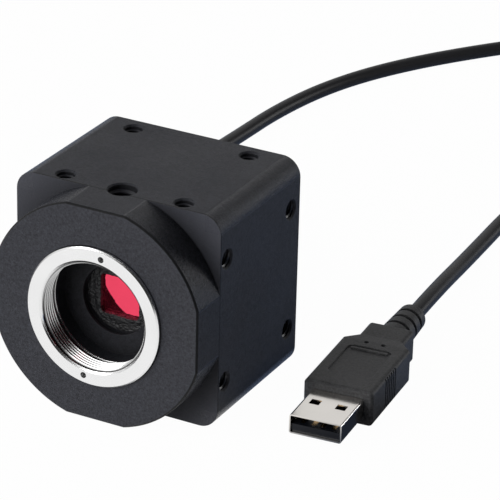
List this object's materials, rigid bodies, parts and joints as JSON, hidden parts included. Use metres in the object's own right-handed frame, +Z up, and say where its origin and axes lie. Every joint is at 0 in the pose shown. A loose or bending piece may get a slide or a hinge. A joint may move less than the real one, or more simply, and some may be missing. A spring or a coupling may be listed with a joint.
{
  "type": "machine vision camera",
  "caption": "Cube machine vision camera with a round nose, C-mount ring, side mounting threads and a USB lead with a moulded plug.",
  "frame": {"origin": "bottom centre of the camera body, lens ring included and lead left out", "axes": "+Z up, -Y the way the lens looks, +X to the right seen from the front"},
  "size_m": [0.122, 0.2697, 0.05],
  "materials": {
    "black_anodised": "black anodised, fine blasted grain",
    "turned_ring": "turned, bright satin face with polished edges",
    "black_screw_steel": "black oxide",
    "zinc_steel": "bright zinc plated",
    "spacer_brass": "nickel plated brass",
    "gasket_rubber": "matt, slightly creased",
    "filter_glass": "coated, pink to red reflection",
    "holder_plastic": "matt black moulding",
    "sensor_ceramic": "dark fired ceramic",
    "silicon": "polished die with an iridescent sheen",
    "cover_glass": "clear",
    "board_green": "solder mask",
    "connector_plastic": "black moulding",
    "capacitor_ceramic": "fired ceramic",
    "chip_epoxy": "moulded epoxy",
    "crystal_can": "plated can",
    "connector_white": "natural moulding",
    "wire_sleeves": "coloured sleeves",
    "lead_pvc": "satin black sheath",
    "boot_pvc": "satin black moulding",
    "plug_pvc": "fine matt black moulding",
    "plug_nickel": "bright nickel plated steel",
    "tongue_plastic": "dark blue-grey moulding",
    "contact_gold": "gold plated",
    "tie_nylon": "black nylon"
  },
  "bodies": {
    "root": {"housing": "black_anodised", "rear_cover": "black_anodised", "lens_mount_ring": "turned_ring", "rear_cover_screws": "black_screw_steel", "board_screws": "zinc_steel", "board_spacers": "spacer_brass", "filter_gasket": "gasket_rubber", "ir_cut_filter": "filter_glass", "filter_holder": "holder_plastic", "image_sensor": "sensor_ceramic", "sensor_die": "silicon", "sensor_cover_glass": "cover_glass", "sensor_board": "board_green", "interface_board": "board_green", "connector_header": "connector_plastic", "connector_socket": "connector_plastic", "chip_capacitors": "capacitor_ceramic", "usb_controller_chip": "chip_epoxy", "memory_chip": "chip_epoxy", "crystal": "crystal_can", "lead_header": "connector_white", "lead_socket": "connector_white", "signal_wires": "wire_sleeves", "usb_lead_in": "lead_pvc", "usb_lead_coil": "lead_pvc", "usb_lead_out": "lead_pvc", "strain_relief_boot": "boot_pvc", "plug_moulding": "plug_pvc", "plug_shell": "plug_nickel", "plug_tongue": "tongue_plastic", "plug_contacts": "contact_gold", "coil_tie": "tie_nylon"}
  },
  "joints": []
}
